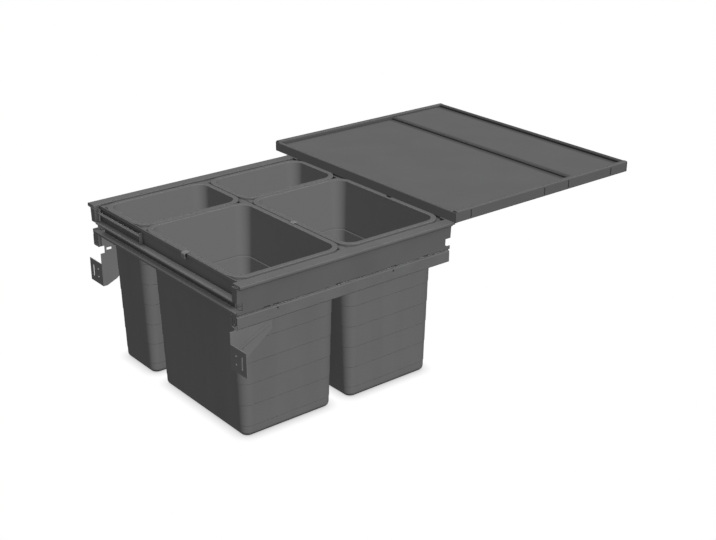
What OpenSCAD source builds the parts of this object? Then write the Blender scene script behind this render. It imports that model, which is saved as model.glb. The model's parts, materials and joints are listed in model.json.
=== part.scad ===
/* [Frame] */
// How far each side flange stays inside the lid's side
frame_margin = 21; // [5:1:28]
// Depth of the side flanges
frame_d = 470; // [440:1:520]
// Height of the frame's top above the foot of the bins
frame_top = 316; // [290:1:400]
// Thickness of the folded sheet
sheet_t = 1.5; // [1.2:0.1:1.7]
// How far the side profile's wall runs on behind the flanges
side_tail = 6; // [5:0.5:12]

/* [Side profile] */
// Width of the flat top flange
flange_w = 23; // [21:0.5:25]
// Height of the flange's folded outer lip
lip_h = 7; // [6:0.5:8]
// Distance of the outer wall from the flange's edge
wall_inset = 10; // [9:0.5:11]
// How far the outer wall leans in on its way down
wall_lean = 3; // [1:0.5:4]
// Height of the outer wall, flange included
wall_h = 58; // [56:1:64]
// Width of the foot under the outer wall
foot_in = 17; // [14:0.5:18]
// Width of the groove beside the bins' rims
groove_w = 6.15; // [5:0.05:7]
// Depth of the seat ledge below the frame's top
seat_drop = 4.55; // [4.2:0.05:5.5]

/* [Front and back] */
// Distance of the front rail's lip from the front ends
lip_set = 10; // [9:0.5:10.5]
// Distance of the bins' front rims from the front ends
rim_set = 12; // [12:0.5:15]
// Distance of the front rail's web from the front ends
web_set = 12.5; // [12:0.5:13]
// Depth of the upper front ledge below the frame's top
ledge_drop = 32.7; // [31:0.1:36]
// Depth of the lower front ledge below the frame's top
low_ledge_drop = 53.7; // [51:0.1:54]
// Height of the ledges' folded lips
ledge_lip = 4; // [3:0.5:4.5]
// Depth of the insert's ledge below the frame's top
insert_drop = 14.7; // [12:0.1:18]
// Length of the insert
insert_w = 158; // [100:1:180]

/* [Bins] */
// Width of a small bin's mouth
small_mouth_w = 129; // [100:1:140]
// Width of a bin's rim
rim_w = 10; // [9.5:0.5:11]
// Thickness of a rim
rim_t = 1.8; // [1.5:0.1:2.2]
// Wall of a bin at its mouth
bin_t = 2.2; // [1.8:0.1:2.2]
// Thickness of a bin's floor
floor_t = 2.4; // [1.8:0.1:4]
// Corner radius of a mouth
mouth_r = 24; // [20:1:30]
// Sideways draft of a bin's walls, as a share of their height
draft_share = 0.0247; // [0.02:0.001:0.03]
// Height of one outside band
band_h = 42; // [36:1:60]
// Step from one band to the next
band_step = 0.4; // [0.2:0.1:0.5]
// Radius of the rounded foot
foot_r = 9; // [6:0.5:10]
// Depth of the step inside a bin
inner_step_drop = 104; // [80:1:140]
// Width of the step inside a bin
inner_step = 2; // [1:0.1:2.4]
// Width of the grip clip on a large bin
clip_w = 12; // [8:1:16]
// Reach of the grip clip in front of its rim
clip_reach = 6.7; // [5.5:0.1:7]

/* [Runners] */
// Height of a cabinet rail
rail_h = 23; // [22:0.5:25]
// Width of a cabinet rail
rail_w = 20; // [20:0.1:21]
// Wall of the rails
rail_t = 1.3; // [1.1:0.1:1.3]
// Diameter of the outer balls
outer_ball = 2.8; // [2.6:0.1:2.8]
// Diameter of the inner balls
inner_ball = 2.2; // [2:0.1:2.3]
// Thickness of a ball cage
cage_t = 0.8; // [0.6:0.1:0.9]
// Length of a ball cage
cage_len = 224; // [160:1:228]
// Spacing of the balls along a cage
ball_pitch = 24; // [18:1:40]
// Radius of a rail's screw holes
rail_hole_r = 2.2; // [1.8:0.1:2.6]
// Spacing of the two screw holes in a rail
rail_hole_pitch = 256; // [192:32:320]
// Distance of the first screw hole from the front ends
rail_hole_set = 82; // [70:1:100]

/* [Front brackets] */
// Width of a door plate
plate_w = 48.2; // [40:0.1:52]
// Height of a door plate
plate_h = 46; // [40:1:60]
// Depth of the door plates' top below the frame's top
plate_drop = 117; // [110:1:125]
// Thickness of the brackets
bracket_t = 1.5; // [1.2:0.1:1.6]
// Depth of the gusset from the front
gusset_d = 86; // [80:1:110]
// Radius of the two screw holes in each door plate
plate_hole_r = 2.1; // [1.8:0.1:2.6]
// Spacing of the two screw holes in a door plate
plate_hole_pitch = 16; // [12:1:20]
// Spacing of the screw holes across the unit
plate_hole_span = 480; // [470:1:490]

/* [Lid] */
// Width of the lid
lid_w = 562; // [540:1:568]
// Depth of the lid
lid_d = 472; // [440:1:500]
// Height of the lid's skirt
lid_h = 22; // [20:0.5:26]
// Gap between the frame's top and the lid
lid_gap = 8; // [6:0.5:14]
// How far the lid's front lies over the frame's rear end
lid_over = 12; // [6:0.5:16]
// Width of the raised rim
lid_rim_w = 10.5; // [9:0.5:14]
// Depth of the front floor below the rim
lid_floor_drop = 9; // [8:0.5:10]
// Depth of the rear floor below the rim
lid_shelf_drop = 5; // [4:0.5:6]
// Depth of the front lip below the rim
lid_lip_drop = 2; // [1:0.5:3]
// Depth of the front floor from the lid's front
lid_step_set = 316; // [280:1:340]

/* [Hidden] */
$fn = 48;

// How far every cut runs past what it cuts
over = 1;
// Clearance between pieces that move past each other
run_gap = 0.3;
// Clearance round a piece that is set into another
fit_gap = 0.1;
// Steps of a round bend, of a bin's round corner and foot, and of a slot's round end
bend_steps = 3;
corner_steps = 6;
foot_steps = 4;
slot_steps = 8;
// Radius of a bend, to the middle of the sheet and to its inner face
bend_r = sheet_t;
bend_in_r = bend_r - sheet_t / 2;

// The lid is set back by the travel of the bins, and both together make the unit's depth
travel = frame_d - lid_over;
unit_d = travel + lid_d;
front_y = -unit_d / 2;
half_w = lid_w / 2 - frame_margin;
side_len = frame_d + side_tail;

// The side profile on the right, to the middle of its sheet
top_z = frame_top - sheet_t / 2;
seat_z = frame_top - seat_drop;
seat_mid_z = seat_z - sheet_t / 2;
edge_x = half_w - sheet_t / 2;
step_x = half_w - flange_w;
return_z = frame_top - lip_h + sheet_t / 2;
wall_x = half_w - wall_inset - sheet_t / 2;
low_x = wall_x - wall_lean;
foot_z = frame_top - wall_h;
foot_mid_z = foot_z + sheet_t / 2;
foot_end_x = low_x - foot_in;

// The bins' rows: small bins on the left, large bins on the right
row_half = step_x - sheet_t / 2 - groove_w;
row_gap = 2;
column_gap = 1.2;
rear_gap = 0.5;
large_mouth_w = 2 * row_half - small_mouth_w - 4 * rim_w - column_gap;
mouth_d = (side_len - sheet_t - rear_gap - rim_set - row_gap - 4 * rim_w) / 2;
large_x = row_half - rim_w - large_mouth_w / 2;
small_x = -row_half + rim_w + small_mouth_w / 2;
front_row_y = rim_set + rim_w + mouth_d / 2;
rear_row_y = front_row_y + mouth_d + 2 * rim_w + row_gap;
rim_top = frame_top - run_gap;
skirt_z = seat_z + run_gap;
rim_edge = 0.8;
clip_t = 1.4;
clip_foot = 4;
clip_slope = 2.6;
clip_drop = 10;
notch_gap = 0.6;
notch_side = 1.5;
notch_slope = 1;

// The inner wall stands just outside the bins and closes the side profile
inner_gap = 1.5;
inner_face_x = row_half - rim_w + bin_t + inner_gap;
inner_mid_x = inner_face_x + sheet_t / 2;
inner_foot_w = 8;
inner_set = web_set + sheet_t + rim_edge;
ledge_over = 0.1;

// Rails, from the cabinet's one to the drawer's one
runner_short = 1;
runner_len = side_len - runner_short;
rail_proud = 0.5;
rail_out_x = low_x + sheet_t / 2 + rail_proud;
rail_x = rail_out_x - rail_w / 2;
flange_t = sheet_t;
rail_top_z = foot_z - flange_t - run_gap;
rail_z = rail_top_z - rail_h;
rail_in = rail_w / 2 - rail_t;
rail_lip = 3.4;
outer_groove = 0.5;
inner_groove = 0.4;
outer_ball_x = rail_in + outer_groove - run_gap - outer_ball / 2;
middle_out = outer_ball_x - outer_ball / 2 - run_gap + outer_groove;
middle_in = middle_out - rail_t;
inner_ball_x = middle_in + inner_groove - run_gap - inner_ball / 2;
blade_out = inner_ball_x - inner_ball / 2 - run_gap + inner_groove;
blade_t = 1;
blade_flange = 9;
outer_cage_z = rail_z + rail_t + run_gap;
middle_z = outer_cage_z + cage_t + run_gap;
middle_h = 13;
inner_cage_z = middle_z + rail_t + run_gap;
blade_z = inner_cage_z + cage_t + run_gap;
outer_track_share = 0.38;
inner_track_share = 0.7;
outer_track_z = middle_z + middle_h * outer_track_share;
inner_track_z = middle_z + middle_h * inner_track_share;
cage_over = 3;
cage_set = (runner_len - cage_len) / 2;
ball_end = 8;
middle_set = 2;
rail_stop_h = 15;
rail_hole_drop = 4.6;
rail_rivet_shares = [0.085, 0.5, 0.915];
rivet_r = 1.2;
rivet_head_r = 1.7;
rivet_head_t = 0.8;
rivet_fit = 0.05;

// Notches and slots of the side profile
notch_d = 11;
notch_top_drop = 34.5;
notch_low_drop = 50;
slot_shares = [0.126, 0.166, 0.4475, 0.712, 0.875];
slot_l = 12;
slot_h = 2;
cap_d = 8;
cap_inset = 3;
cap_x = step_x - cap_inset;

// Front and back rails
rail_end_x = cap_x;
jog_drop = 7;
jog_run = web_set - lip_set;
ledge_z = frame_top - ledge_drop;
low_ledge_z = frame_top - low_ledge_drop;
front_seat_d = 6;
rear_y = side_len - sheet_t / 2;
rear_foot_d = 6.5;
rear_low_d = 9;
cross_end_x = inner_face_x - ledge_over - fit_gap;
divider_h = 12;
divider_gap = 1.5;
insert_out = 3.75;
insert_end_out = 6;

// Front brackets, whose outline goes by the plate's top and the foot of the side profile
plate_top_z = frame_top - plate_drop;
plate_low_z = plate_top_z - plate_h;
bracket_x = inner_face_x - bracket_t;
bracket_rise = 22;
bracket_top_z = foot_z + bracket_rise;
bracket_step_y = inner_set + over;
toe_d = 9;
knee_d = 30;
knee_rise = 9.1;
heel_rise = 4;
shoulder_d = 15;
neck_d = 4;
neck_rise = 37;
brow_rise = 22;
window_y = 13;
window_d = 11;
window_rise = 27;
window_h = 5;
rib_w = 4;
rib_out = 1;
// Ends of the two ribs: depths as shares of the gusset's, heights above the plate as shares of its own
rib_shares = [[0.233, -0.283, 0.93, 0.391], [0.302, -0.348, 0.953, 0.185]];
door_slot_w = 4;
door_slot_h = 25;
door_slot_in = 12.5;
bracket_rivet_shares = [0.302, 0.721];
bracket_rivet_rise = 12;
bracket_rivet_z = foot_z + bracket_rivet_rise;

// The lid
lid_z = frame_top + lid_gap;
lid_top_z = lid_z + lid_h;
lid_half = lid_w / 2;
lid_front = travel;
lid_rear = travel + lid_d;
lid_lip_d = 6;
lid_slot_shares = [0.0784, 0.4894, 0.6314, 0.8941];
lid_slot_w = 3;
lid_slot_h = 14;

// Places are measured from the frame's front ends
module from_front() translate([0, front_y, 0]) children();

// The right-hand piece as it is, or mirrored to the left
module on_side(side) {
    if (side > 0) children();
    else mirror([1, 0, 0]) children();
}

// A section in x and z, drawn out from y0 to y1
module along_y(y0, y1) translate([0, y1, 0]) rotate([90, 0, 0]) linear_extrude(y1 - y0) children();

// A section in y and z, drawn out from x0 to x1
module along_x(x0, x1) translate([x0, 0, 0]) rotate([90, 0, 90]) linear_extrude(x1 - x0) children();

// A box between two corners
module block(a, b) translate(a) cube(b - a);

function unit(v) = v / norm(v);
function left_of(v) = [-v[1], v[0]] / norm(v);
function turned(v, angle) =
    [v[0] * cos(angle) - v[1] * sin(angle), v[0] * sin(angle) + v[1] * cos(angle)];

// One round bend of radius r at b, on the way from a to c
function bend(a, b, c, r) =
    let (
        u = unit(a - b),
        v = unit(c - b),
        half = acos(u * v) / 2,
        middle = b + unit(u + v) * r / sin(half),
        start = b + u * r / tan(half) - middle,
        sweep = sign(cross(b - a, c - b)) * (180 - 2 * half)
    )
    [for (k = [0 : bend_steps]) middle + turned(start, sweep * k / bend_steps)];

function bent(p, r) =
    len(p) < 3 ? p : [
        p[0],
        for (i = [1 : len(p) - 2]) each bend(p[i - 1], p[i], p[i + 1], r),
        p[len(p) - 1]
    ];

// A line beside the line p, at distance h to its left
function beside(p, h) =
    let (last = len(p) - 1)
    [for (i = [0 : last])
        let (
            before = left_of(i > 0 ? p[i] - p[i - 1] : p[1] - p[0]),
            after = left_of(i < last ? p[i + 1] - p[i] : p[last] - p[last - 1])
        )
        p[i] + (before + after) * h / (1 + before * after)];

function back_to_front(p) = [for (i = [len(p) - 1 : -1 : 0]) p[i]];

// Outline of a slot or rib with round ends of radius r at a and b
function long_round(a, b, r) =
    let (start = atan2(b[1] - a[1], b[0] - a[0]) - 90)
    [for (end = [b, a], k = [0 : slot_steps])
        let (angle = start + 180 * (k / slot_steps + (end == a ? 1 : 0)))
        end + r * [cos(angle), sin(angle)]];

// Folded sheet of thickness t along the points p
module sheet(p, t = sheet_t) {
    line = bent(p, bend_r);
    polygon(concat(beside(line, t / 2), back_to_front(beside(line, -t / 2))));
}

// A rivet along z, with its head below, through sheets of the given thickness
module rivet(grip) {
    translate([0, 0, -rivet_head_t]) cylinder(r = rivet_head_r, h = rivet_head_t);
    cylinder(r = rivet_r, h = grip);
    translate([0, 0, grip]) cylinder(r = rivet_head_r, h = rivet_head_t);
}

module side_panel(side) {
    section = [
        [inner_face_x - ledge_over, seat_mid_z], [step_x, seat_mid_z], [step_x, top_z],
        [edge_x, top_z], [edge_x, return_z], [wall_x, return_z],
        [low_x, foot_mid_z], [foot_end_x, foot_mid_z]
    ];
    color("#5f5f5f") from_front() on_side(side) difference() {
        along_y(0, side_len) sheet(section);
        // The seat ledge makes room for the front rail
        block([inner_face_x - over, -over, seat_z - sheet_t - over],
              [step_x - sheet_t / 2 - over / 2, inner_set, seat_z + over]);
        // The flange, its lip and the seat ledge end before the wall does
        block([inner_face_x - over, frame_d, frame_top - lip_h],
              [half_w + over, side_len + over, frame_top + over]);
        // A notch at each end of the outer wall
        for (y = [0, side_len - notch_d])
            block([low_x - sheet_t - over, y - over, frame_top - notch_low_drop],
                  [half_w + over, y + notch_d + (y > 0 ? over : 0), frame_top - notch_top_drop]);
        // Slots along the bend of the foot
        for (share = slot_shares)
            block([low_x - sheet_t, share * side_len - slot_l / 2, foot_z + sheet_t],
                  [half_w, share * side_len + slot_l / 2, foot_z + sheet_t + slot_h]);
        for (share = rail_rivet_shares)
            translate([rail_x, share * runner_len, foot_z - over])
                cylinder(r = rivet_r + rivet_fit, h = sheet_t + 2 * over);
    }
}

module side_inner(side) {
    section = [
        [inner_mid_x + inner_foot_w, seat_mid_z - sheet_t], [inner_mid_x, seat_mid_z - sheet_t],
        [inner_mid_x, foot_mid_z + sheet_t], [inner_mid_x + inner_foot_w, foot_mid_z + sheet_t]
    ];
    color("#4c4c4c") from_front() on_side(side) difference() {
        along_y(inner_set, side_len - sheet_t - fit_gap) sheet(section);
        for (share = bracket_rivet_shares)
            translate([bracket_x - over, share * gusset_d, bracket_rivet_z])
                rotate([0, 90, 0]) cylinder(r = rivet_r + rivet_fit, h = 2 * sheet_t + 2 * over);
    }
}

// Cap that closes the upper front end of a side profile
module end_cap(side) {
    cap_top = frame_top - lip_h;
    cap_low = frame_top - notch_top_drop;
    lean = wall_lean * (return_z - cap_low) / (return_z - foot_mid_z);
    color("#424242") from_front() on_side(side) along_y(0, cap_d) polygon([
        [cap_x + fit_gap, cap_top], [cap_x + fit_gap, cap_low],
        [wall_x - sheet_t / 2 - lean - fit_gap, cap_low],
        [wall_x - sheet_t / 2 - lean * sheet_t / (return_z - cap_low) - fit_gap, cap_top]
    ]);
}

module front_rail_upper() {
    lip_mid = lip_set + sheet_t / 2;
    web_mid = web_set + sheet_t / 2;
    color("#404040") from_front() {
        along_x(-rail_end_x, rail_end_x) sheet([
            [lip_mid, rim_top - run_gap], [lip_mid, frame_top - jog_drop],
            [web_mid, frame_top - jog_drop - jog_run], [web_mid, ledge_z - sheet_t / 2],
            [sheet_t / 2, ledge_z - sheet_t / 2], [sheet_t / 2, ledge_z - ledge_lip]
        ]);
        // The seat under the bins' front rims
        block([-inner_face_x + over, lip_mid, seat_z - sheet_t],
              [inner_face_x - over, lip_mid + front_seat_d, seat_z]);
    }
}

module front_rail_lower() {
    ledge_end = low_x - sheet_t - fit_gap;
    lip_end = foot_end_x - fit_gap;
    web_mid = web_set + sheet_t / 2;
    color("#404040") from_front() {
        along_x(-bracket_x + fit_gap, bracket_x - fit_gap) sheet([
            [web_mid, ledge_z - ledge_lip], [web_mid, low_ledge_z - sheet_t / 2],
            [sheet_t / 2, low_ledge_z - sheet_t / 2], [sheet_t / 2, low_ledge_z - ledge_lip]
        ]);
        block([-ledge_end, 0, low_ledge_z - sheet_t], [ledge_end, web_set, low_ledge_z]);
        block([-lip_end, 0, low_ledge_z - ledge_lip], [lip_end, sheet_t, low_ledge_z]);
    }
}

// Small ledge with an end plate, in front of the upper rail on the left
module front_insert() {
    top = frame_top - insert_drop;
    low = ledge_z + bend_in_r;
    insert_end = insert_w - rail_end_x;
    color("#4a4a4a") from_front() {
        along_x(-rail_end_x, insert_end) sheet([
            [insert_out, top - sheet_t / 2], [web_set - sheet_t / 2, top - sheet_t / 2],
            [web_set - sheet_t / 2, low]
        ]);
        block([insert_end - sheet_t, insert_end_out, low],
              [insert_end, web_set, frame_top - jog_drop - jog_run]);
    }
}

// The rear rails reach across between the inner walls, and behind the ends of these to the sides
module rear_rail_upper() {
    color("#404040") from_front() {
        along_x(-cross_end_x, cross_end_x) sheet([
            [rear_y, frame_top - run_gap], [rear_y, ledge_z - sheet_t / 2],
            [rear_y - rear_foot_d, ledge_z - sheet_t / 2]
        ]);
        block([-rail_end_x, side_len - sheet_t, ledge_z],
              [rail_end_x, side_len, frame_top - run_gap]);
        block([-cross_end_x, rear_y - front_seat_d, seat_z - sheet_t],
              [cross_end_x, rear_y, seat_z]);
    }
}

module rear_rail_lower() {
    ledge_end = low_x - sheet_t - fit_gap;
    lip_end = foot_end_x - fit_gap;
    color("#404040") from_front() {
        block([-cross_end_x, side_len - rear_low_d, low_ledge_z - sheet_t],
              [cross_end_x, side_len, low_ledge_z]);
        block([-ledge_end, side_len - sheet_t, low_ledge_z - sheet_t],
              [ledge_end, side_len, low_ledge_z]);
        block([-lip_end, side_len - sheet_t, low_ledge_z - ledge_lip],
              [lip_end, side_len, low_ledge_z]);
    }
}

// Downward channel under the rims between the two rows
module row_divider() {
    y0 = front_row_y + mouth_d / 2 + bin_t + divider_gap;
    y1 = rear_row_y - mouth_d / 2 - bin_t - divider_gap;
    clip_end = rear_row_y - mouth_d / 2 - rim_w - clip_reach + clip_t;
    color("#404040") from_front() difference() {
        along_x(-cross_end_x, cross_end_x) sheet([
            [y0 + sheet_t / 2, seat_z - divider_h], [y0 + sheet_t / 2, seat_z - sheet_t / 2],
            [y1 - sheet_t / 2, seat_z - sheet_t / 2], [y1 - sheet_t / 2, seat_z - divider_h]
        ]);
        // Room for the clip of the large bin behind
        block([large_x - clip_w / 2 - notch_side, y0 - over, frame_top - divider_h],
              [large_x + clip_w / 2 + notch_side, clip_end + notch_gap, seat_z + over]);
    }
}

// Downward channel between a small and a large bin, from y0 to y1
module column_divider(y0, y1) {
    x0 = small_x + small_mouth_w / 2 + bin_t + divider_gap;
    x1 = large_x - large_mouth_w / 2 - bin_t - divider_gap;
    color("#404040") from_front() along_y(y0, y1) sheet([
        [x0 + sheet_t / 2, seat_z - divider_h], [x0 + sheet_t / 2, seat_z - sheet_t / 2],
        [x1 - sheet_t / 2, seat_z - sheet_t / 2], [x1 - sheet_t / 2, seat_z - divider_h]
    ]);
}

module cabinet_rail(side) {
    mid = rail_w / 2 - rail_t / 2;
    low = rail_z + rail_t / 2;
    high = rail_top_z - rail_t / 2;
    color("#6a6a6a") from_front() on_side(side) difference() {
        union() {
            translate([rail_x, 0, 0]) along_y(0, runner_len) sheet([
                [-rail_w / 2 + rail_lip, high], [-mid, high], [-mid, low],
                [mid, low], [mid, high], [rail_w / 2 - rail_lip, high]
            ], rail_t);
            // The rear end is closed, as a stop
            block([rail_x - mid, runner_len - rail_t, low],
                  [rail_x + mid, runner_len, rail_z + rail_stop_h]);
        }
        for (s = [-1, 1])
            translate([rail_x + s * outer_ball_x, -over, outer_track_z])
                rotate([-90, 0, 0])
                    cylinder(r = outer_ball / 2 + run_gap, h = runner_len - rail_t + over);
        for (y = [rail_hole_set, rail_hole_set + rail_hole_pitch])
            translate([rail_x + mid - rail_t, y, rail_top_z - rail_hole_drop])
                rotate([0, 90, 0]) cylinder(r = rail_hole_r, h = 3 * rail_t);
    }
}

module middle_rail(side) {
    mid = middle_out - rail_t / 2;
    color("#777777") from_front() on_side(side) translate([rail_x, 0, 0]) difference() {
        along_y(middle_set, runner_len - rail_t - run_gap) sheet([
            [-mid, middle_z + middle_h], [-mid, middle_z + rail_t / 2],
            [mid, middle_z + rail_t / 2], [mid, middle_z + middle_h]
        ], rail_t);
        for (s = [-1, 1]) {
            translate([s * outer_ball_x, 0, outer_track_z]) rotate([-90, 0, 0])
                cylinder(r = outer_ball / 2 + run_gap, h = runner_len);
            translate([s * inner_ball_x, 0, inner_track_z]) rotate([-90, 0, 0])
                cylinder(r = inner_ball / 2 + run_gap, h = runner_len);
        }
    }
}

module drawer_rail(side) {
    color("#6a6a6a") from_front() on_side(side) translate([rail_x, 0, 0]) difference() {
        along_y(0, runner_len - rail_t - run_gap) {
            translate([-blade_flange, rail_top_z + run_gap]) square([2 * blade_flange, flange_t]);
            for (s = [-1, 1])
                translate([s * (blade_out - blade_t / 2) - blade_t / 2, blade_z])
                    square([blade_t, rail_top_z + run_gap + flange_t / 2 - blade_z]);
            translate([-blade_out, blade_z]) square([2 * blade_out, blade_t]);
        }
        for (s = [-1, 1])
            translate([s * inner_ball_x, -over, inner_track_z]) rotate([-90, 0, 0])
                cylinder(r = inner_ball / 2 + run_gap, h = runner_len + 2 * over);
        for (share = rail_rivet_shares)
            translate([0, share * runner_len, rail_top_z])
                cylinder(r = rivet_r + rivet_fit, h = run_gap + flange_t + over);
    }
}

// The balls of one cage, in two rows at distance x from the rail's middle
module ball_rows(x, z) {
    for (s = [-1, 1], y = [cage_set + ball_end : ball_pitch : cage_set + cage_len - ball_end])
        translate([rail_x + s * x, y, z]) children();
}

// Trough of thin sheet with a hole for each ball
module ball_cage(side, x, low_z, z, ball) {
    color("#8a8a8a") from_front() on_side(side) difference() {
        translate([rail_x, 0, 0]) along_y(cage_set, cage_set + cage_len) sheet([
            [-x, z + cage_over], [-x, low_z + cage_t / 2],
            [x, low_z + cage_t / 2], [x, z + cage_over]
        ], cage_t);
        ball_rows(x, z) rotate([0, 90, 0])
            cylinder(r = ball / 2 + fit_gap, h = 2 * cage_t, center = true);
    }
}

module balls(side, x, z, ball) {
    color("#b0b0b0") from_front() on_side(side) ball_rows(x, z) sphere(d = ball);
}

module front_bracket(side) {
    low = plate_low_z;
    high = plate_top_z;
    slot_x = bracket_x + plate_w - door_slot_in;
    slot_half = (door_slot_h - door_slot_w) / 2;
    color("#4a4a4a") from_front() on_side(side) difference() {
        union() {
            along_x(bracket_x, bracket_x + bracket_t) polygon([
                [0, low], [toe_d, low], [knee_d, low + knee_rise], [gusset_d, high + heel_rise],
                [gusset_d, foot_z], [gusset_d - shoulder_d, bracket_top_z],
                [bracket_step_y, bracket_top_z], [bracket_step_y, foot_z - over],
                [neck_d, foot_z - over], [neck_d, high + neck_rise], [toe_d, high + neck_rise],
                [toe_d, high + brow_rise], [0, high + brow_rise]
            ]);
            block([bracket_x, 0, low], [bracket_x + plate_w, bracket_t, high]);
            for (share = rib_shares)
                along_x(bracket_x + bracket_t - fit_gap, bracket_x + bracket_t + rib_out)
                    polygon(long_round([share[0] * gusset_d, high + share[1] * plate_h],
                                       [share[2] * gusset_d, high + share[3] * plate_h], rib_w / 2));
        }
        block([bracket_x - over, window_y, high + window_rise],
              [bracket_x + bracket_t + over, window_y + window_d, high + window_rise + window_h]);
        // A slot and two screw holes in the door plate
        along_y(-over, bracket_t + over) {
            polygon(long_round([slot_x, (low + high) / 2 - slot_half],
                               [slot_x, (low + high) / 2 + slot_half], door_slot_w / 2));
            for (s = [-1, 1])
                translate([plate_hole_span / 2, (low + high + s * plate_hole_pitch) / 2])
                    circle(r = plate_hole_r);
        }
        for (share = bracket_rivet_shares)
            translate([bracket_x - over, share * gusset_d, bracket_rivet_z]) rotate([0, 90, 0])
                cylinder(r = rivet_r + rivet_fit, h = bracket_t + 2 * over);
    }
}

module bracket_rivets() {
    color("#8a8a8a") from_front() for (side = [-1, 1], share = bracket_rivet_shares)
        on_side(side) translate([bracket_x, share * gusset_d, bracket_rivet_z])
            rotate([0, 90, 0]) rivet(bracket_t + sheet_t);
}

module rail_rivets() {
    color("#8a8a8a") from_front() for (side = [-1, 1], share = rail_rivet_shares)
        on_side(side) translate([rail_x, share * runner_len, foot_z - flange_t])
            rivet(flange_t + sheet_t);
}

// One ring of a bin: the mouth's outline moved out by o, at height z.
// The rear edge is cut back by cut where the next bin's clip hangs.
function ring(w, o, z, cut) =
    let (
        hw = w / 2 + o,
        hd = mouth_d / 2 + o,
        r = mouth_r + o,
        n = clip_w / 2 + notch_side,
        centres = [[hw - r, hd - r], [r - hw, hd - r], [r - hw, r - hd], [hw - r, r - hd]]
    )
    [for (q = [0 : 3]) each concat(
        [for (k = [0 : corner_steps])
            let (angle = 90 * (q + k / corner_steps))
            [centres[q][0] + r * cos(angle), centres[q][1] + r * sin(angle), z]],
        q > 0 ? [] : [
            [n + notch_slope, hd, z], [n, hd - cut, z], [-n, hd - cut, z], [-n - notch_slope, hd, z]
        ]
    )];

// The bin's wall, from the middle of the foot out, up, over the rim and down inside
function bin_profile(cut) =
    let (
        bands = floor((rim_top - foot_r - band_step) / band_h),
        foot_o = bin_t - draft_share * rim_top - band_step * bands,
        floor_o = -draft_share * (rim_top - floor_t) - inner_step,
        step_z = rim_top - inner_step_drop
    )
    concat(
        [for (k = [0 : foot_steps])
            let (angle = 90 * k / foot_steps)
            [foot_o - foot_r * (1 - sin(angle)), foot_r * (1 - cos(angle)), 0]],
        [for (k = [bands : -1 : 1])
            let (drop = band_h * k, o = bin_t - draft_share * drop - band_step * k)
            each [[o, rim_top - drop - band_step, 0], [o + band_step, rim_top - drop, 0]]],
        [
            [bin_t, rim_top - rim_t, 0], [rim_w - rim_t, rim_top - rim_t, cut],
            [rim_w - rim_t, skirt_z, cut], [rim_w, skirt_z, cut],
            [rim_w, rim_top - rim_edge, cut], [rim_w - rim_edge, rim_top, cut],
            [rim_edge, rim_top, 0], [0, rim_top - rim_edge, 0],
            [-draft_share * inner_step_drop, step_z, 0],
            [-draft_share * inner_step_drop - inner_step, step_z - inner_step, 0]
        ],
        [for (k = [foot_steps : -1 : 0])
            let (angle = 90 * k / foot_steps)
            [floor_o - foot_r * (1 - sin(angle)), floor_t + foot_r * (1 - cos(angle)), 0]]
    );

module bin_body(w, cut) {
    profile = bin_profile(cut);
    rings = [for (p = profile) each ring(w, p[0], p[1], p[2])];
    n = len(ring(w, 0, 0, 0));
    last = (len(profile) - 1) * n;
    polyhedron(rings, concat(
        [[for (i = [0 : n - 1]) i]],
        [for (j = [0 : len(profile) - 2], i = [0 : n - 1])
            let (a = j * n + i, b = j * n + (i + 1) % n)
            each [[a, a + n, b + n], [a, b + n, b]]],
        [[for (i = [n - 1 : -1 : 0]) last + i]]
    ), convexity = 6);
}

module large_bin(y) {
    color("#666666") from_front() translate([large_x, y, 0])
        bin_body(large_mouth_w, clip_reach + notch_gap - row_gap);
}

// Clip on a large bin's front rim: over the frame's lip and down in front of it
module rim_clip(y) {
    edge = y - mouth_d / 2 - rim_w;
    front = edge - clip_reach + clip_t / 2;
    high = rim_top + clip_t / 2;
    color("#7a7a7a") from_front() along_x(large_x - clip_w / 2, large_x + clip_w / 2) sheet([
        [edge + rim_edge + clip_foot, high], [front + clip_slope, high],
        [front, high - clip_slope], [front, high - clip_drop]
    ], clip_t);
}

module small_bin(y) {
    color("#5e5e5e") from_front() translate([small_x, y, 0]) bin_body(small_mouth_w, 0);
}

// The front floor with its lip and the skirt below it
module lid_front_panel() {
    lip_z = lid_top_z - lid_lip_drop - sheet_t / 2;
    floor_z = lid_top_z - lid_floor_drop - sheet_t / 2;
    inner = lid_half - lid_rim_w;
    color("#616161") from_front() {
        along_x(-inner, inner) sheet([
            [lid_front + sheet_t / 2, lid_z], [lid_front + sheet_t / 2, lip_z],
            [lid_front + lid_lip_d, lip_z], [lid_front + lid_lip_d, floor_z],
            [lid_front + lid_step_set, floor_z]
        ]);
        for (side = [-1, 1]) on_side(side)
            block([inner - over, lid_front, lid_z], [lid_half, lid_front + sheet_t, lip_z]);
    }
}

module lid_rear_panel() {
    shelf_z = lid_top_z - lid_shelf_drop - sheet_t / 2;
    inner = lid_half - lid_rim_w;
    step_y = lid_front + lid_step_set + sheet_t / 2;
    color("#606060") from_front() along_x(-inner, inner) sheet([
        [step_y, lid_top_z - lid_floor_drop - sheet_t], [step_y, shelf_z],
        [lid_rear - lid_rim_w, shelf_z]
    ]);
}

// Section of the raised rim, with its outer side at zero
module lid_rim_section() {
    sheet([
        [-lid_rim_w + sheet_t / 2, lid_top_z - lid_floor_drop - sheet_t],
        [-lid_rim_w + sheet_t / 2, lid_top_z - sheet_t / 2],
        [-sheet_t / 2, lid_top_z - sheet_t / 2], [-sheet_t / 2, lid_z + sheet_t / 2],
        [-lid_rim_w, lid_z + sheet_t / 2]
    ]);
}

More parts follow.
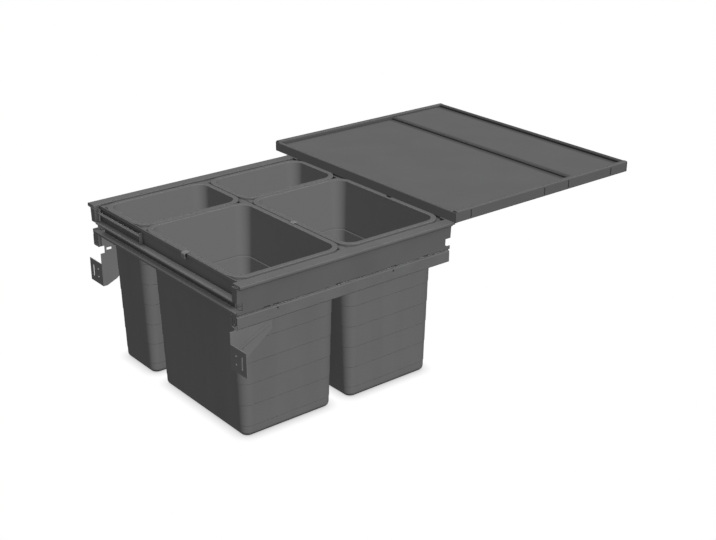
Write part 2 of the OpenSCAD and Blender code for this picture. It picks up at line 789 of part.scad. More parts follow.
module lid_rail_side(side) {
    color("#606060") from_front() on_side(side) difference() {
        translate([lid_half, 0, 0]) along_y(lid_front + sheet_t, lid_rear) lid_rim_section();
        for (share = lid_slot_shares) {
            slot_y = lid_front + share * lid_d;
            block([lid_half - sheet_t - over, slot_y - lid_slot_w / 2, lid_z + (lid_h - lid_slot_h) / 2],
                  [lid_half + over, slot_y + lid_slot_w / 2, lid_z + (lid_h + lid_slot_h) / 2]);
        }
    }
}

module lid_rail_back() {
    inner = lid_half - lid_rim_w;
    color("#606060") from_front() translate([0, lid_rear, 0]) along_x(-inner, inner) lid_rim_section();
}

cabinet_rail(-1);  // cabinet_rail_left
cabinet_rail(1);  // cabinet_rail_right
middle_rail(-1);  // middle_rail_left
middle_rail(1);  // middle_rail_right
ball_cage(-1, outer_ball_x, outer_cage_z, outer_track_z, outer_ball);  // outer_cage_left
ball_cage(1, outer_ball_x, outer_cage_z, outer_track_z, outer_ball);  // outer_cage_right
balls(-1, outer_ball_x, outer_track_z, outer_ball);  // outer_balls_left
balls(1, outer_ball_x, outer_track_z, outer_ball);  // outer_balls_right
ball_cage(-1, inner_ball_x, inner_cage_z, inner_track_z, inner_ball);  // inner_cage_left
ball_cage(1, inner_ball_x, inner_cage_z, inner_track_z, inner_ball);  // inner_cage_right
balls(-1, inner_ball_x, inner_track_z, inner_ball);  // inner_balls_left
balls(1, inner_ball_x, inner_track_z, inner_ball);  // inner_balls_right
drawer_rail(-1);  // drawer_rail_left
drawer_rail(1);  // drawer_rail_right
side_panel(-1);  // side_panel_left
side_panel(1);  // side_panel_right
side_inner(-1);  // side_inner_left
side_inner(1);  // side_inner_right
end_cap(-1);  // end_cap_left
end_cap(1);  // end_cap_right
front_rail_upper();
front_rail_lower();
front_insert();
rear_rail_upper();
rear_rail_lower();
row_divider();
column_divider(lip_set + sheet_t / 2 + front_seat_d + fit_gap,  // column_divider_front
                   front_row_y + mouth_d / 2 + bin_t + divider_gap - fit_gap);
column_divider(rear_row_y - mouth_d / 2 - bin_t - divider_gap + fit_gap,  // column_divider_rear
                   rear_y - front_seat_d - fit_gap);
front_bracket(-1);  // front_bracket_left
front_bracket(1);  // front_bracket_right
bracket_rivets();
rail_rivets();
large_bin(front_row_y);  // large_bin_front
large_bin(rear_row_y);  // large_bin_rear
small_bin(front_row_y);  // small_bin_front
small_bin(rear_row_y);  // small_bin_rear
rim_clip(front_row_y);  // rim_clip_front
rim_clip(rear_row_y);  // rim_clip_rear
lid_front_panel();
lid_rear_panel();
lid_rail_side(-1);  // lid_rail_left
lid_rail_side(1);  // lid_rail_right
lid_rail_back();
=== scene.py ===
# Pull-out waste unit for a base cabinet: bins, finishes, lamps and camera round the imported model.
# Everything is in metres. +X is right and +Y is back, seen from the front of the unit.
import json
import math
import bpy
import numpy as np
from mathutils import Matrix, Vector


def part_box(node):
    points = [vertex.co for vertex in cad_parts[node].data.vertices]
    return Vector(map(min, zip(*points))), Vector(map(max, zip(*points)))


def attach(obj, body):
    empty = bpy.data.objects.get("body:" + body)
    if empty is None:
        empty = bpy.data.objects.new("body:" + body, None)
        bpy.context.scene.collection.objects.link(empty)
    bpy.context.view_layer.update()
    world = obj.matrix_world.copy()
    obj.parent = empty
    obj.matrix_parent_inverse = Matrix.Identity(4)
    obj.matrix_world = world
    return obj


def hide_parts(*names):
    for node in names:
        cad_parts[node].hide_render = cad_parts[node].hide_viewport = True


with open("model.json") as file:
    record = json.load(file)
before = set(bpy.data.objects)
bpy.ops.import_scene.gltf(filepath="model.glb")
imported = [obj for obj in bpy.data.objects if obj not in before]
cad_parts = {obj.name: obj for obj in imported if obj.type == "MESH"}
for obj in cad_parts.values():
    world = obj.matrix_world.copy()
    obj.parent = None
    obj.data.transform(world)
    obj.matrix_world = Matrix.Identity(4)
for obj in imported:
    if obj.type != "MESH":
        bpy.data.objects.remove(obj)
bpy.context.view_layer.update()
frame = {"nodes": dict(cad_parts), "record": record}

mm = 0.001


# Camera and lamps

photoView = {
    "place": (1.84917, -1.50298, 1.14663),
    "azimuth": 51.063,          # degrees round from the front, towards the right
    "elevation": 22.952,        # degrees above the horizon
    "roll": 0.044,
    "focalLength": 1271.5,      # in widths of one image point
    "imageWidth": 716,
    "sensorWidth": 36,
    "farthest": 50,
}

studio = {
    "floorSize": 14,
    "floorShade": 0.12,         # what the floor throws back on the unit
    "shadowReach": 20 * mm,     # how far the faint shadow runs out from the bins' feet
    "shadowDepth": 0.5,
    "shadowSamples": 16,
    "skyLevel": 0.1,            # what the white surroundings give to matt surfaces
    "lampSize": 4,              # degrees of arc, for soft edges of the highlights
    "lamps": [                  # name, level, the way towards the lamp
        ("key_lamp", 4.55, (0.62, 0.02, 0.785)),
        ("front_lamp", 0.9, (0.1, -0.97, 0.2)),
        ("back_lamp", 1.2, (-0.75, 0.6, 0.25)),
    ],
}


def addObject(name, data):
    made = bpy.data.objects.new(name, data)
    bpy.context.scene.collection.objects.link(made)
    return made


def addCamera(look):
    data = bpy.data.cameras.new("photo_camera")
    data.sensor_width = look["sensorWidth"]
    data.lens = look["focalLength"] * look["sensorWidth"] / look["imageWidth"]
    data.clip_end = look["farthest"]
    camera = addObject("photo_camera", data)
    turn = Matrix.Rotation(math.radians(look["azimuth"]), 4, "Z")
    tilt = Matrix.Rotation(math.radians(90 - look["elevation"]), 4, "X")
    roll = Matrix.Rotation(math.radians(look["roll"]), 4, "Z")
    camera.matrix_world = Matrix.Translation(look["place"]) @ turn @ tilt @ roll
    bpy.context.scene.camera = camera


def addLamps(look):
    for name, level, towards in look["lamps"]:
        data = bpy.data.lights.new(name, "SUN")
        data.energy = level
        data.angle = math.radians(look["lampSize"])
        data.use_shadow = False  # the photo's light leaves no shadow on the unit itself
        away = -np.array(towards) / np.linalg.norm(towards)
        across = np.cross(away, (0.0, 0.0, 1.0))
        across /= np.linalg.norm(across)
        up = np.cross(across, away)
        turned = Matrix(np.column_stack([across, up, -away]).tolist())
        addObject(name, data).matrix_world = turned.to_4x4()


# Shader maths

class Wire:
    # Wraps one socket of a node tree. Sums and products of wires add their Math nodes.

    def __init__(self, tree, socket=None):
        self.tree = tree
        self.socket = socket

    def node(self, kind, settings=(), sockets=(), output=0):
        made = self.tree.nodes.new(kind)
        for name, value in dict(settings).items():
            setattr(made, name, value)
        for name, value in dict(sockets).items():
            if isinstance(value, Wire):
                self.tree.links.new(value.socket, made.inputs[name])
            else:
                made.inputs[name].default_value = value
        return Wire(self.tree, made.outputs[output] if len(made.outputs) else None)

    def maths(self, operation, first, second=0.0):
        return self.node("ShaderNodeMath", {"operation": operation}, {0: first, 1: second})

    def __add__(self, other):
        return self.maths("ADD", self, other)

    def __sub__(self, other):
        return self.maths("SUBTRACT", self, other)

    def __mul__(self, other):
        return self.maths("MULTIPLY", self, other)

    def __rsub__(self, other):
        return self.maths("SUBTRACT", other, self)

    def size(self):
        return self.maths("ABSOLUTE", self)

    def between(self, low, high):
        # 0 below low, 1 above high, smooth in between
        return self.node("ShaderNodeMapRange",
                         {"interpolation_type": "SMOOTHSTEP", "clamp": True},
                         {"Value": self, "From Min": low, "From Max": high})

    def blend(self, none, full):
        # The colour none where this wire is 0 and full where it is 1. Sockets 6, 7 and output 2
        # of a Mix node are those of its colours.
        return self.node("ShaderNodeMix", {"data_type": "RGBA"}, {0: self, 6: none, 7: full}, 2)


def even(level):
    return (level, level, level)


def tinted(colour, share):
    return tuple(min(1.0, part * share) for part in colour) + (1.0,)


def newMaterial(name):
    material = bpy.data.materials.new(name)
    material.use_nodes = True
    material.node_tree.nodes.clear()
    return material, Wire(material.node_tree)


def noise(wire, place, scale, detail=2.0, roughness=0.5, distortion=0.0):
    return wire.node("ShaderNodeTexNoise", {"noise_dimensions": "3D"},
                     {"Vector": place, "Scale": scale, "Detail": detail, "Roughness": roughness,
                      "Distortion": distortion})


def axes(wire, place, letters):
    return [wire.node("ShaderNodeSeparateXYZ", {}, {"Vector": place}, axis) for axis in letters]


cornerShadeLook = {"samples": 6, "openFrom": 0.04, "shutFrom": 0.75, "shade": 0.15}


def paintedCornerShade(wire, colour, look):
    # Painted shade: corners and gaps are darkened where little light reaches them:
    # dark share = depth * (1 - open sky within reach), eased
    openSky = wire.node("ShaderNodeAmbientOcclusion", {"samples": cornerShadeLook["samples"]},
                        {"Distance": look["creaseReach"]}, "AO")
    shut = (1.0 - openSky).between(cornerShadeLook["openFrom"], cornerShadeLook["shutFrom"])
    return (shut * look["creaseDepth"]).blend(colour, tinted(look["colour"], cornerShadeLook["shade"]))


def finish(wire, colour, roughness, height, look):
    # Principled surface whose colour, roughness and height change over it
    bump = wire.node("ShaderNodeBump", {}, {"Strength": look["bumpStrength"],
                                            "Distance": look["grainHeight"], "Height": height})
    # The base colour carries painted shade in corners and gaps
    shader = wire.node("ShaderNodeBsdfPrincipled", {}, {
        "Base Color": paintedCornerShade(wire, colour, look), "Roughness": roughness, "Normal": bump,
        "Metallic": look["metallic"], "Specular IOR Level": look["specular"]})
    wire.node("ShaderNodeOutputMaterial", {}, {"Surface": shader})


coat = {"kind": "coat", "roughness": 0.55, "mottle": 0.04, "grainSize": 0.7 * mm,
        "grainHeight": 0.05 * mm, "bumpStrength": 0.4, "specular": 0.0, "metallic": 0.0}
moulding = {"kind": "moulding", "roughness": 0.6, "mottle": 0.04, "grainSize": 0.5 * mm,
            "grainHeight": 0.04 * mm, "bumpStrength": 0.5, "specular": 0.02, "metallic": 0.0}
rolled = {"kind": "drawn", "mottle": 0.08}

finishes = {
    "frame": {**coat, "colour": even(0.106), "creaseReach": 16 * mm, "creaseDepth": 0.75},
    "crossRail": {**coat, "colour": even(0.125), "creaseReach": 24 * mm, "creaseDepth": 0.95},
    "bracket": {**coat, "colour": even(0.138), "creaseReach": 5 * mm, "creaseDepth": 0.6},
    "lid": {**coat, "colour": even(0.0965), "roughness": 0.58, "mottle": 0.02,
            "creaseReach": 13 * mm, "creaseDepth": 0.6,
            "seam": 4 * mm, "seamTop": 2 * mm, "seamDepth": 0.6, "seamShade": 0.2,
            "fallSkin": 1 * mm, "fallShade": 1.35,
            "bandNear": 3 * mm, "bandFar": 16 * mm, "bandEnd": 2 * mm, "bandDepth": 0.45,
            "bandShade": 0.15},
    "trim": {**moulding, "colour": even(0.105), "creaseReach": 16 * mm, "creaseDepth": 0.8},
    "bin": {**moulding, "colour": even(0.123), "grainSize": 0.45 * mm, "grainHeight": 0.05 * mm,
            "bumpStrength": 0.4, "specular": 0.0, "creaseReach": 7 * mm, "creaseDepth": 0.4,
            "innerShade": 1.13, "rimShade": 0.87},
    "clip": {**moulding, "colour": even(0.15), "bumpStrength": 0.2, "specular": 0.0,
             "creaseReach": 8 * mm, "creaseDepth": 0.9},
    "rail": {**rolled, "colour": (0.118, 0.118, 0.119), "roughness": 0.45, "grainSize": 0.4 * mm,
             "grainHeight": 0.02 * mm, "bumpStrength": 0.4, "specular": 0.02, "metallic": 0.0,
             "creaseReach": 12 * mm, "creaseDepth": 0.85},
    "bright": {**rolled, "colour": (0.19, 0.19, 0.195), "roughness": 0.5, "grainSize": 0.3 * mm,
               "grainHeight": 0.01 * mm, "bumpStrength": 0.3, "specular": 0.25, "metallic": 1.0,
               "creaseReach": 6 * mm, "creaseDepth": 0.7},
}

coatTexture = {
    "cloudScale": 14.0, "cloudDetail": 3.0, "cloudEnds": (0.3, 0.7),
    "peelPerGrain": 0.25, "peelDetail": 1.0, "peelHeight": 0.7, "grainHeight": 0.3,
    "speckEnds": (0.62, 0.72), "speckDepth": 0.3, "speckShade": 1.35,
    "cloudRough": 0.1, "grainRough": 0.08,
}

mouldTexture = {
    "pitSmoothness": 0.6, "rise": (1.0, 1.0, 0.12),
    "flowScale": 24.0, "flowDetail": 3.0, "flowRoughness": 0.55, "flowDistortion": 0.4,
    "cloudScale": 9.0, "flowShare": 0.6, "cloudShare": 0.4, "mixEnds": (0.32, 0.68),
    "flowRough": 0.1, "pitRough": 0.12, "roughDrop": 0.1,
}

drawnTexture = {
    "run": (1.0, 0.02, 1.0), "lineDetail": 3.0, "lineRoughness": 0.6,
    "cloudScale": 18.0, "cloudDetail": 3.0, "lineShare": 0.6, "cloudShare": 0.4,
    "mixEnds": (0.35, 0.65), "lineRough": 0.16,
}


def mottled(share, look):
    return share.blend(tinted(look["colour"], 1 - look["mottle"]),
                       tinted(look["colour"], 1 + look["mottle"]))


def cornerSeams(wire, place, look):
    # The folded lid's laps:
    # 1 within a seam's width of the front left and the rear right upright corner
    low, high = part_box("lid_rail_left")[0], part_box("lid_rail_right")[1]
    front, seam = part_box("lid_front_panel")[0][1], look["seam"]
    x, y, z = axes(wire, place, "XYZ")
    first = ((1.0 - x.between(low[0] + seam / 2, low[0] + seam))
             * (1.0 - y.between(front + seam / 2, front + seam)))
    second = (x.between(high[0] - seam, high[0] - seam / 2)
              * y.between(high[1] - seam, high[1] - seam / 2))
    top = high[2] - look["seamTop"]
    return (first + second) * (1.0 - z.between(top, top + look["seamTop"] / 2))


def paintedFallLight(wire, place, look):
    # Painted light: 1 on the outer skin of the lid's front fall, 0 behind it, where the front face
    # is painted lighter
    front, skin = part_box("lid_front_panel")[0][1], look["fallSkin"]
    y, = axes(wire, place, "Y")
    return 1.0 - y.between(front + skin / 2, front + skin)


def paintedStepShade(wire, place, look):
    # Painted shade beside the step between the lid's panels and beside its back rail, with d the
    # distance to the nearer of the two: 1 up to bandNear, eased to 0 at bandFar, and 0 on the
    # side rails
    step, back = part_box("lid_rear_panel")[0][1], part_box("lid_rail_back")[0][1]
    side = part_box("lid_rail_right")[0][0]
    x, y = axes(wire, place, "XY")
    d = wire.maths("MINIMUM", (y - step).size(), (y - back).size())
    within = 1.0 - x.size().between(side - look["bandEnd"], side)
    return (1.0 - d.between(look["bandNear"], look["bandFar"])) * within


def makeCoat(name, look):
    # Powder coat: colour * (1 + mottle * (cloud - 1/2)), height = orange peel + fine grain
    material, wire = newMaterial(name)
    place = wire.node("ShaderNodeTexCoord", output="Object")
    texture = coatTexture
    cloud = noise(wire, place, texture["cloudScale"], texture["cloudDetail"])
    peel = noise(wire, place, texture["peelPerGrain"] / look["grainSize"], texture["peelDetail"])
    grain = noise(wire, place, 1.0 / look["grainSize"])
    colour = mottled(cloud.between(*texture["cloudEnds"]), look)
    speck = grain.between(*texture["speckEnds"]) * texture["speckDepth"]
    colour = speck.blend(colour, tinted(look["colour"], texture["speckShade"]))
    if "seam" in look:
        # Painted light on the lid's front face
        colour = paintedFallLight(wire, place, look).blend(
            colour, tinted(look["colour"], look["fallShade"]))
        colour = (cornerSeams(wire, place, look) * look["seamDepth"]).blend(
            colour, tinted(look["colour"], look["seamShade"]))
        # Painted shade beside the lid's step and its back rail
        colour = (paintedStepShade(wire, place, look) * look["bandDepth"]).blend(
            colour, tinted(look["colour"], look["bandShade"]))
    mean = (texture["cloudRough"] + texture["grainRough"]) / 2
    roughness = (cloud * texture["cloudRough"] + grain * texture["grainRough"]
                 + (look["roughness"] - mean))
    height = peel * texture["peelHeight"] + grain * texture["grainHeight"]
    finish(wire, colour, roughness, height, look)
    return material


def makeMoulding(name, look):
    # Moulded plastic: eroded grain of fine pits, soft flow marks that rise up the walls
    material, wire = newMaterial(name)
    place = wire.node("ShaderNodeTexCoord", output="Object")
    texture = mouldTexture
    pits = wire.node("ShaderNodeTexVoronoi", {"feature": "SMOOTH_F1"},
                     {"Vector": place, "Scale": 1.0 / look["grainSize"],
                      "Smoothness": texture["pitSmoothness"]}, "Distance")
    rising = wire.node("ShaderNodeMapping", {}, {"Vector": place, "Scale": texture["rise"]})
    flow = noise(wire, rising, texture["flowScale"], texture["flowDetail"],
                 texture["flowRoughness"], texture["flowDistortion"])
    cloud = noise(wire, place, texture["cloudScale"])
    marks = flow * texture["flowShare"] + cloud * texture["cloudShare"]
    colour = mottled(marks.between(*texture["mixEnds"]), look)
    # Painted light on the bins' inner walls, painted shade on their rims and on the ledge below
    if "innerShade" in look:
        for layer, shade in (("inside", look["innerShade"]), ("upward", look["rimShade"])):
            share = wire.node("ShaderNodeAttribute", {"attribute_name": layer}, output="Fac")
            colour = share.blend(colour, tinted(look["colour"], shade))
    roughness = (flow * texture["flowRough"] + pits * texture["pitRough"]
                 + (look["roughness"] - texture["roughDrop"]))
    finish(wire, colour, roughness, pits, look)
    return material


def makeDrawn(name, look):
    # Rolled strip: fine lines along the runner, colour * (1 + mottle * (line - 1/2))
    material, wire = newMaterial(name)
    place = wire.node("ShaderNodeTexCoord", output="Object")
    texture = drawnTexture
    along = wire.node("ShaderNodeMapping", {}, {"Vector": place, "Scale": texture["run"]})
    lines = noise(wire, along, 1.0 / look["grainSize"], texture["lineDetail"],
                  texture["lineRoughness"])
    cloud = noise(wire, place, texture["cloudScale"], texture["cloudDetail"])
    marks = lines * texture["lineShare"] + cloud * texture["cloudShare"]
    colour = mottled(marks.between(*texture["mixEnds"]), look)
    roughness = lines * texture["lineRough"] + (look["roughness"] - texture["lineRough"] / 2)
    finish(wire, colour, roughness, lines, look)
    return material


def directShare(wire):
    # 1 for what the eye sees straight, mirrored or through a clear body,
    # 0 for light on matt surfaces
    seen, shiny, through = [wire.node("ShaderNodeLightPath", output=name) for name in (
        "Is Camera Ray", "Is Glossy Ray", "Is Transmission Ray")]
    return seen + shiny + through


def makeStage(look):
    # White surroundings: seen white by the eye and in reflections,
    # dimmer as a light on matt surfaces
    white = tinted(even(1.0), 1.0)
    world = bpy.data.worlds.new("studio")
    bpy.context.scene.world = world
    world.use_nodes = True
    world.node_tree.nodes.clear()
    wire = Wire(world.node_tree)
    soft = wire.node("ShaderNodeBackground", {}, {"Color": white, "Strength": look["skyLevel"]})
    bright = wire.node("ShaderNodeBackground", {}, {"Color": white, "Strength": 1.0})
    both = wire.node("ShaderNodeMixShader", {}, {0: directShare(wire), 1: soft, 2: bright})
    wire.node("ShaderNodeOutputWorld", {}, {"Surface": both})

    material, wire = newMaterial("floor_white")
    matt = wire.node("ShaderNodeBsdfDiffuse", {}, {"Color": tinted(even(look["floorShade"]), 1.0)})
    # The floor keeps the unit's shadow: its white is dimmed where the unit closes it in
    openSky = wire.node("ShaderNodeAmbientOcclusion", {"samples": look["shadowSamples"]},
                        {"Distance": look["shadowReach"]}, "AO")
    level = 1.0 - (1.0 - openSky) * look["shadowDepth"]
    glow = wire.node("ShaderNodeEmission", {}, {"Color": white, "Strength": level})
    both = wire.node("ShaderNodeMixShader", {}, {0: directShare(wire), 1: matt, 2: glow})
    wire.node("ShaderNodeOutputMaterial", {}, {"Surface": both})

    half = look["floorSize"] / 2
    mesh = bpy.data.meshes.new("floor")
    mesh.from_pydata([(-half, -half, 0), (half, -half, 0), (half, half, 0), (-half, half, 0)],
                     [], [(0, 1, 2, 3)])
    floor = addObject("floor", mesh)
    mesh.materials.append(material)


# Surfaces worked out on grids

shadingLook = {"sharpAngle": 35, "faceWeight": 100}


def addPiece(name, grid, material):
    # grid[v, u] is a point of the surface; u runs round and is closed, v runs along, with a cap
    # at each end
    rows, columns = grid.shape[:2]
    index = np.arange(rows * columns).reshape(rows, columns)
    right = np.roll(index, -1, axis=1)
    quads = np.stack([index[:-1], right[:-1], right[1:], index[1:]], axis=-1).reshape(-1, 4)
    faces = quads.tolist() + [index[0, ::-1].tolist(), index[-1].tolist()]
    points = grid.reshape(-1, 3)
    corner = points[quads]
    # Six times the volume that the sides enclose with the origin tells which way they face
    volume = sum(np.einsum("ij,ij->i", corner[:, 0], np.cross(corner[:, k], corner[:, k + 1])).sum()
                 for k in (1, 2))
    mesh = bpy.data.meshes.new(name)
    mesh.from_pydata(points.tolist(), [], faces)
    piece = addObject(name, mesh)
    mesh.materials.append(material)
    if volume < 0:
        mesh.flip_normals()
    mesh.polygons.foreach_set("use_smooth", np.ones(len(mesh.polygons), dtype=bool))
    mesh.set_sharp_from_angle(angle=math.radians(shadingLook["sharpAngle"]))
    weighted = piece.modifiers.new("even_shading", "WEIGHTED_NORMAL")
    weighted.keep_sharp = True
    weighted.weight = shadingLook["faceWeight"]
    mesh.update()
    return piece


def rounded(corners, steps):
    # A line through corners (a, b, r). Where r > 0 the corner is taken by an arc of radius r:
    # its centre lies r / sin(half) from the corner, on the line that halves the angle there.
    corners = np.array(corners, dtype=float)
    line = []
    for before, here, after in zip(np.roll(corners, 1, axis=0), corners,
                                   np.roll(corners, -1, axis=0)):
        r = here[2]
        if r <= 0:
            line.append(here[None, :2])
            continue
        u = (before - here)[:2] / np.linalg.norm((before - here)[:2])
        v = (after - here)[:2] / np.linalg.norm((after - here)[:2])
        half = math.acos(np.clip(u @ v, -1, 1)) / 2
        centre = here[:2] + (u + v) / np.linalg.norm(u + v) * r / math.sin(half)
        start = here[:2] + u * r / math.tan(half) - centre
        cross = -u[0] * v[1] + u[1] * v[0]
        angle = np.linspace(0, 1, steps + 1) * math.copysign(math.pi - 2 * half, cross)
        turned = np.stack([start[0] * np.cos(angle) - start[1] * np.sin(angle),
                           start[0] * np.sin(angle) + start[1] * np.cos(angle)], axis=-1)
        line.append(centre + turned)
    return np.concatenate(line)


binLook = {
    "rimWidth": 10 * mm, "rimThick": 1.8 * mm, "rimEdge": 0.9 * mm, "wall": 2.2 * mm,
    "floor": 2.4 * mm, "cornerRadius": 24 * mm, "draft": 0.0247, "bandHeight": 42 * mm,
    "bandStep": 0.4 * mm, "bandGroove": 0.2 * mm, "footRadius": 9 * mm, "footRun": 13.5 * mm,
    "stepDrop": 104 * mm, "step": 1.3 * mm, "stepLand": 3 * mm, "stepReach": 1.56 * mm,
    "skirt": 3.95 * mm, "edge": 0.35 * mm, "cornerSteps": 14, "arcSteps": 5,
    "notchDepth": 5.3 * mm, "notchHalf": 7.5 * mm, "notchSlope": 1.2 * mm,
    "notchShares": (0, 0.9, 1, 1, 1, 0.9, 0), "levelSlack": 0.001 * mm,
}

clipLook = {"thick": 1.4 * mm, "bend": 3 * mm, "edge": 0.45 * mm, "edgeSteps": 4, "bendSteps": 10}


def binProfile(look, top):
    # Corners (offset from the mouth, height, radius) and whether the rear notch reaches them.
    # The wall's offset at a drop d below the top is
    # wall - draft * d - bandStep * floor(d / bandHeight),
    # and a little less just below each step, where a shallow groove marks the band.
    edge, draft, foot = look["edge"], look["draft"], look["footRadius"]
    bands = int((top - foot) / look["bandHeight"])
    outer = look["wall"] - draft * top - look["bandStep"] * bands
    corners = [(outer - look["footRun"], 0, 0, 0), (outer, 0, foot, 0)]
    for k in range(bands, 0, -1):
        drop = look["bandHeight"] * k
        o = look["wall"] - draft * drop - look["bandStep"] * k
        groove = top - drop - look["bandStep"] - look["bandGroove"]
        corners += [(o - look["bandGroove"], groove, edge, 0),
                    (o + look["bandStep"], top - drop, edge / 2, 0)]
    rim, thick, skirt = look["rimWidth"], look["rimThick"], top - look["skirt"]
    step, land, ledge = look["step"], look["stepLand"], top - look["stepDrop"]
    inner = -draft * look["stepDrop"]
    base = -draft * (top - look["floor"]) - step
    corners += [
        (look["wall"], top - thick, edge, 0), (rim - thick, top - thick, edge, 1),
        (rim - thick, skirt, edge, 1), (rim, skirt, edge, 1),
        (rim, top, look["rimEdge"], 1), (0, top, look["rimEdge"], 0),
        (inner + draft * land, ledge + land, 0, 0),
        (inner, ledge, edge, 0),
        (inner - step, ledge - step, 2 * edge, 0),
        (inner - step - draft * land, ledge - step - land, 0, 0),
        (base, look["floor"], foot, 0),
        (base - look["footRun"], look["floor"], 0, 0),
    ]
    return np.array(corners)


def binGrid(look, centre, width, depth, top, notched):
    # point(v, u) = c(u) + (r + o(v)) * d(u), with c the corner's centre or a point of the straight
    # between two of them, d the outward direction there, r the corner radius, o and z the profile
    corners = binProfile(look, top)
    profile = rounded(corners[:, :3], look["arcSteps"])
    count = np.where(corners[:, 2] > 0, look["arcSteps"] + 1, 1)
    reached = np.repeat(corners[:, 3], count)
    radius = look["cornerRadius"]
    cx, cy = width / 2 - radius, depth / 2 - radius
    quarter = np.linspace(0, math.pi / 2, look["cornerSteps"] + 1)
    angle = np.concatenate([quarter + q * math.pi / 2 for q in range(4)])
    centreX = np.repeat([cx, -cx, -cx, cx], len(quarter))
    centreY = np.repeat([cy, cy, -cy, -cy], len(quarter))
    # Points of the notch stand on the rear straight, between the first and the second corner
    n, slope = look["notchHalf"], look["notchSlope"]
    extra = np.array([n + slope, n, n - slope, 0, slope - n, -n, -n - slope])
    k = len(quarter)
    angle = np.insert(angle, k, np.full(len(extra), math.pi / 2))
    centreX = np.insert(centreX, k, extra)
    centreY = np.insert(centreY, k, np.full(len(extra), cy))
    notch = np.insert(np.zeros(len(angle) - len(extra)), k, look["notchShares"])
    notch *= look["notchDepth"] if notched else 0
    reach = radius + profile[:, 0][:, None]
    x = centre[0] + centreX[None] + reach * np.cos(angle)[None]
    y = (centre[1] + centreY[None] + reach * np.sin(angle)[None]
         - reached[:, None] * notch[None])
    z = np.broadcast_to(profile[:, 1][:, None], x.shape)
    return np.stack([x, y, z], axis=-1)


def carried(section, path, middle):
    # point(v, u) = p(v) + (middle + a(u)) * X + b(u) * n(v), with a and b the section and n the
    # normal of the path p in the Y-Z plane
    along = np.gradient(path, axis=0)
    along /= np.linalg.norm(along, axis=1)[:, None]
    normal = np.stack([-along[:, 1], along[:, 0]], axis=-1)
    x = np.broadcast_to(middle + section[None, :, 0], (len(path), len(section)))
    y = path[:, 0][:, None] + section[None, :, 1] * normal[:, 0][:, None]
    z = path[:, 1][:, None] + section[None, :, 1] * normal[:, 1][:, None]
    return np.stack([x, y, z], axis=-1)


def flatSection(halfWidth, halfThick, edge, steps):
    # A rectangle whose corners are taken by arcs
    return rounded([(halfWidth, halfThick, edge), (-halfWidth, halfThick, edge),
                    (-halfWidth, -halfThick, edge), (halfWidth, -halfThick, edge)], steps)


def clipGrid(look, low, high):
    # A strip with rounded edges, carried from the rim forward over the frame's lip
    # and down before it
    thin = look["thick"] / 2
    section = flatSection((high[0] - low[0]) / 2, thin, look["edge"], look["edgeSteps"])
    path = rounded([(high[1], high[2] - thin, 0), (low[1] + thin, high[2] - thin, look["bend"]),
                    (low[1] + thin, low[2], 0)], look["bendSteps"])
    return carried(section, path, (low[0] + high[0]) / 2)


def makeBin(node, look, material):
    low, high = (np.array(corner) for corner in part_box(node))
    width, depth = (high - low)[:2] - 2 * look["rimWidth"]
    grid = binGrid(look, (low + high) / 2, width, depth, high[2], node.startswith("large"))
    shell = addPiece(f"{node}_shell", grid, material)
    # Painted light makes the inside a little lighter, and painted shade makes the rim and the ledge
    # below it a little darker
    height = grid[:, 0, 2]
    rows = np.arange(len(grid))
    mouth = rows[height >= high[2] - look["levelSlack"]]
    ledge = np.abs(height - (high[2] - look["stepDrop"])) < look["stepReach"]
    upward = ((rows >= mouth[0]) & (rows <= mouth[-1])) | (ledge & (rows > mouth[-1]))
    inside = (rows > mouth[-1]) & ~upward
    for name, share in (("inside", inside), ("upward", upward)):
        layer = shell.data.attributes.new(name, "FLOAT", "POINT")
        layer.data.foreach_set("value", np.repeat(share.astype(np.float32), grid.shape[1]))
    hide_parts(node)
    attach(shell, node)


def makeClip(node, body, look, material):
    low, high = (np.array(corner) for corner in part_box(node))
    strip = addPiece(f"{node}_strip", clipGrid(look, low, high), material)
    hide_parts(node)
    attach(strip, body)


# Distances x and z are from the side's outer face and the lowest edge,
# y from the front and the back edge
lidSlotShadeLook = {"x": (1.6 * mm, 2.2 * mm), "y": (3 * mm, 3 * mm), "z": (3 * mm, 19 * mm),
                "edge": 0.15 * mm}
lidEndLook = {"x": (0.3 * mm, 10.3 * mm), "y": (468.8 * mm, 0.2 * mm), "z": (0.4 * mm, 20 * mm),
              "edge": 0.15 * mm}
footStripLook = {"x": (14.9 * mm, 16.6 * mm), "y": (15 * mm, 18 * mm), "z": (1.6 * mm, 4.8 * mm),
                 "edge": 0.3 * mm}
flangeTailLook = {"x": (0, 36.1 * mm), "y": (469.95 * mm, 0), "z": (53.2 * mm, 58 * mm),
                  "edge": 0.3 * mm}
stripSteps = {"edge": 4, "rows": 12}

cornerLook = {"inner": 223.9 * mm, "back": 470.4 * mm, "top": 311.3 * mm, "thick": 1.2 * mm,
              "radius": 28 * mm, "turnEnd": 0.02, "turnSteps": 25, "leastWidth": 1 * mm}


def stripGrid(low, high, edge):
    # A flat strip between two corners of its box: a rounded rectangle carried straight back
    middle, half = (low + high) / 2, (high - low) / 2
    rows = stripSteps["rows"]
    path = np.stack([np.linspace(low[1], high[1], rows), np.full(rows, middle[2])], axis=-1)
    return carried(flatSection(half[0], half[2], edge, stripSteps["edge"]), path, middle[0])


def makeSideStrips(name, beside, body, look, material):
    for side, sign in (("left", -1), ("right", 1)):
        low, high = (np.array(corner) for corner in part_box(f"{beside}_{side}"))
        outer = max(abs(low[0]), abs(high[0]))
        x = sorted(sign * (outer - inset) for inset in look["x"])
        first = np.array([x[0], low[1] + look["y"][0], low[2] + look["z"][0]])
        last = np.array([x[1], high[1] - look["y"][1], low[2] + look["z"][1]])
        strip = addPiece(f"{name}_{side}", stripGrid(first, last, look["edge"]), material)
        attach(strip, body)


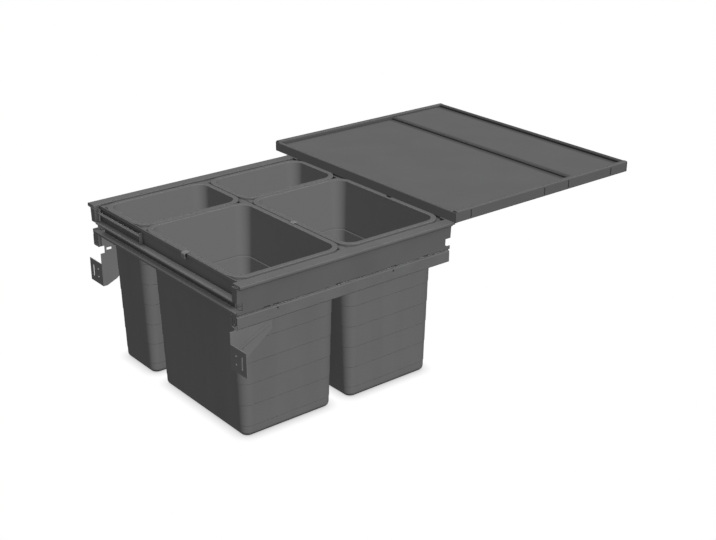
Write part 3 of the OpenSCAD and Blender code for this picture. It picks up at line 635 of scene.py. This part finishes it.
def cornerGrid(look, centre, corner):
    # A plate between an arc about the bin's corner and the frame's square corner:
    # inner(t) = centre + r * (cos t, sin t),
    # outer(t) = where that ray meets x = corner x or y = corner y
    t = np.linspace(look["turnEnd"], math.pi / 2 - look["turnEnd"], look["turnSteps"])
    way = np.stack([np.cos(t), np.sin(t)], axis=-1)
    far = np.maximum(np.min((corner - centre) / way, axis=1), look["radius"] + look["leastWidth"])
    inner, outer = centre + way * look["radius"], centre + way * far[:, None]
    low, high = look["top"] - look["thick"], look["top"]
    ring = [(inner, low), (inner, high), (outer, high), (outer, low)]
    return np.stack([np.column_stack([plan, np.full(len(t), z)]) for plan, z in ring], axis=1)


def makeCornerPlates(look, material):
    # Behind the rear bins the ledges meet in a small plate, under the round corners of the rims
    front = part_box("side_panel_right")[0][1]
    reach = binLook["cornerRadius"] + binLook["rimWidth"]
    for side, sign, node in (("left", -1, "small_bin_rear"), ("right", 1, "large_bin_rear")):
        low, high = (np.array(corner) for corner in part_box(node))
        centre = np.array([max(abs(low[0]), abs(high[0])) - reach, high[1] - reach])
        grid = cornerGrid(look, centre, np.array([look["inner"], front + look["back"]]))
        grid[..., 0] *= sign
        plate = addPiece(f"corner_plate_{side}", grid, material)
        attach(plate, "pull_out")


# Sheet edges of the carried-over pieces are broken by a small round, as a press leaves them
edgeLook = {
    "widths": {"frame": 0.25 * mm, "lid": 0.3 * mm, "trim": 0.4 * mm, "rail": 0.2 * mm},
    "weld": 0.002 * mm, "flatAngle": 2, "edgeAngle": 40, "segments": 2,
}


def softenEdges(piece, width, look):
    weld = piece.modifiers.new("joined", "WELD")
    weld.merge_threshold = look["weld"]
    flat = piece.modifiers.new("flats", "DECIMATE")
    flat.decimate_type = "DISSOLVE"
    flat.angle_limit = math.radians(look["flatAngle"])
    bevel = piece.modifiers.new("edges", "BEVEL")
    bevel.width = width
    bevel.segments = look["segments"]
    bevel.limit_method = "ANGLE"
    bevel.angle_limit = math.radians(look["edgeAngle"])


# Nodes with a finish of their own inside the slot
ownFinish = {"front_bracket": "bracket", "front_rail_upper": "crossRail",
             "front_rail_lower": "crossRail"}


def dressNodes(materials):
    for part in frame["record"]["subparts"]:
        name, slotName = part["node"], part["material_slot"]
        piece = frame["nodes"][name]
        piece.data.materials.clear()
        kind = ownFinish.get(name.replace("_left", "").replace("_right", ""), slotName)
        piece.data.materials.append(materials[kind])
        if slotName in edgeLook["widths"]:
            softenEdges(piece, edgeLook["widths"][slotName], edgeLook)


makers = {"coat": makeCoat, "moulding": makeMoulding, "drawn": makeDrawn}

addCamera(photoView)
addLamps(studio)
makeStage(studio)
print("camera, lamps and floor are in place")

materials = {slot: makers[look["kind"]](f"{slot}_finish", look) for slot, look in finishes.items()}
print("finishes:", ", ".join(materials))

dressNodes(materials)
for binNode in ("large_bin_front", "large_bin_rear", "small_bin_front", "small_bin_rear"):
    makeBin(binNode, binLook, materials["bin"])
for row in ("front", "rear"):
    makeClip(f"rim_clip_{row}", f"large_bin_{row}", clipLook, materials["clip"])
# A strip closes the lid rail's slots from behind, so that they read as dark ticks in painted shade
makeSideStrips("lid_slot_strip", "lid_rail", "lid", lidSlotShadeLook, materials["trim"])
makeSideStrips("lid_end_plate", "lid_rail", "lid", lidEndLook, materials["lid"])
makeSideStrips("foot_strip", "side_panel", "pull_out", footStripLook, materials["trim"])
makeSideStrips("flange_tail", "side_panel", "pull_out", flangeTailLook,
               materials["frame"])
makeCornerPlates(cornerLook, materials["frame"])
print("bins, clips, strips and edges are made")

bpy.context.scene.view_settings.view_transform = "Standard"
